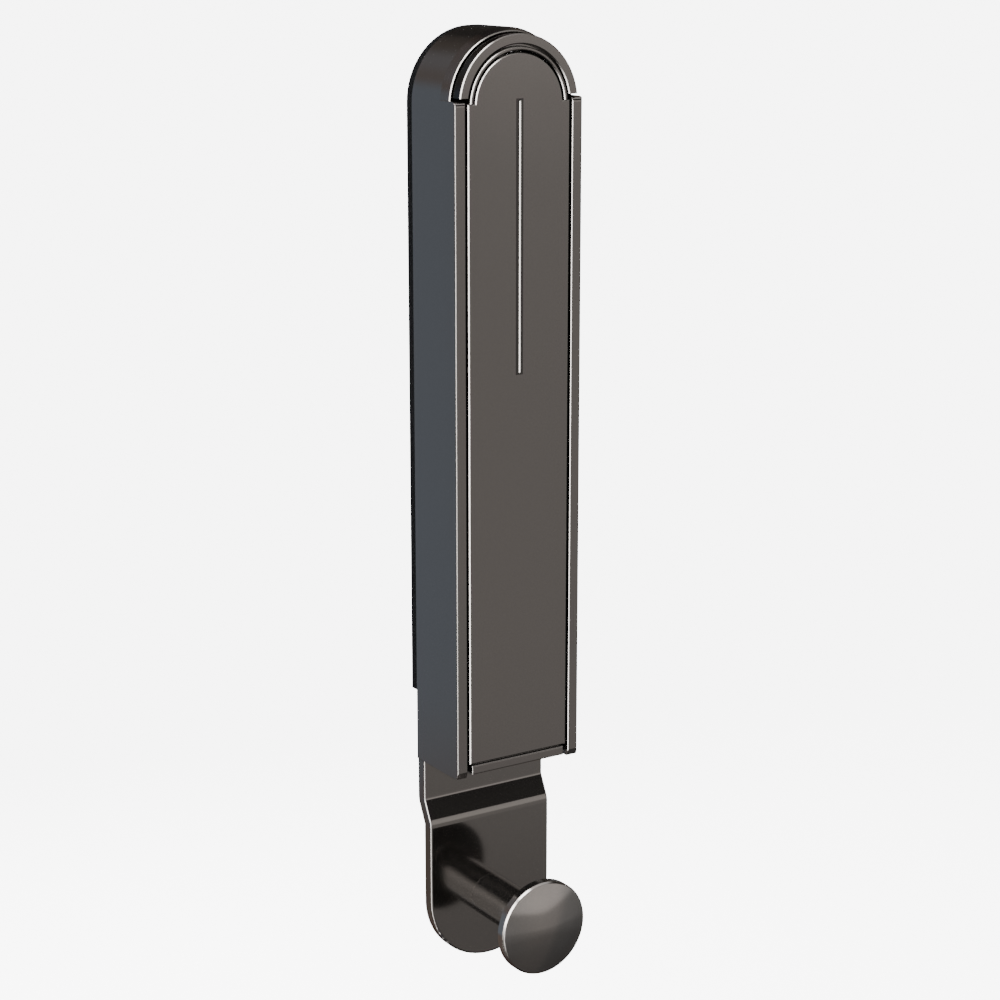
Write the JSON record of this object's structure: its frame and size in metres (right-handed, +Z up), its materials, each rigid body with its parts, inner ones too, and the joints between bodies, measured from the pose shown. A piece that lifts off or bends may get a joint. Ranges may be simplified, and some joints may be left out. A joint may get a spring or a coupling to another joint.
{
  "type": "wall-mounted clothes rack",
  "caption": "Slim upright wall case with a half-round top, a hanger arm that folds down out of its front slot, and a round coat hook on the stepped plate below.",
  "frame": {"origin": "on the wall, in the middle of the four wall holes", "axes": "+X to the right as seen from the room, +Y into the wall, +Z up along the case"},
  "size_m": [0.046, 0.0457, 0.3052],
  "materials": {
    "black_coat": "fine black powder coat",
    "gun_grey_gloss": "smooth gun-grey coat with a soft mirror",
    "gun_grey_satin": "satin gun-grey coat",
    "zinc_steel": "zinc-plated steel",
    "dark_plastic": "moulded, matt",
    "soft_rubber": "moulded, matt"
  },
  "bodies": {
    "case": {"wall_bracket": "black_coat", "back_plate": "gun_grey_gloss", "hanging_studs": "zinc_steel", "lock_screw": "zinc_steel", "shell": "gun_grey_satin", "shell_rivets": "zinc_steel", "foot_caps": "dark_plastic", "hinge_bracket": "zinc_steel", "bracket_rivets": "zinc_steel", "hinge_pin": "zinc_steel", "pin_clips": "zinc_steel", "wave_washers": "zinc_steel", "stop_pad": "dark_plastic", "rest_bumper": "soft_rubber", "magnet_cup": "dark_plastic", "magnet": "zinc_steel", "magnet_screw": "zinc_steel", "hook_knob": "gun_grey_satin", "hook_washer": "zinc_steel", "hook_screw": "zinc_steel"},
    "arm": {"arm_channel": "gun_grey_satin", "front_panel": "gun_grey_satin", "panel_studs": "zinc_steel", "panel_screws": "zinc_steel", "arm_head": "gun_grey_satin", "head_screws": "zinc_steel", "arm_heel": "gun_grey_satin", "heel_screws": "zinc_steel", "hinge_bushes": "dark_plastic", "strike_plate": "zinc_steel", "strike_rivets": "zinc_steel"}
  },
  "joints": [
    {"name": "arm_hinge", "type": "hinge", "parent": "case", "child": "arm", "pos_m": [0, -0.0194, -0.1174], "axis": [1, 0, 0], "range_deg": [0, 90]}
  ]
}
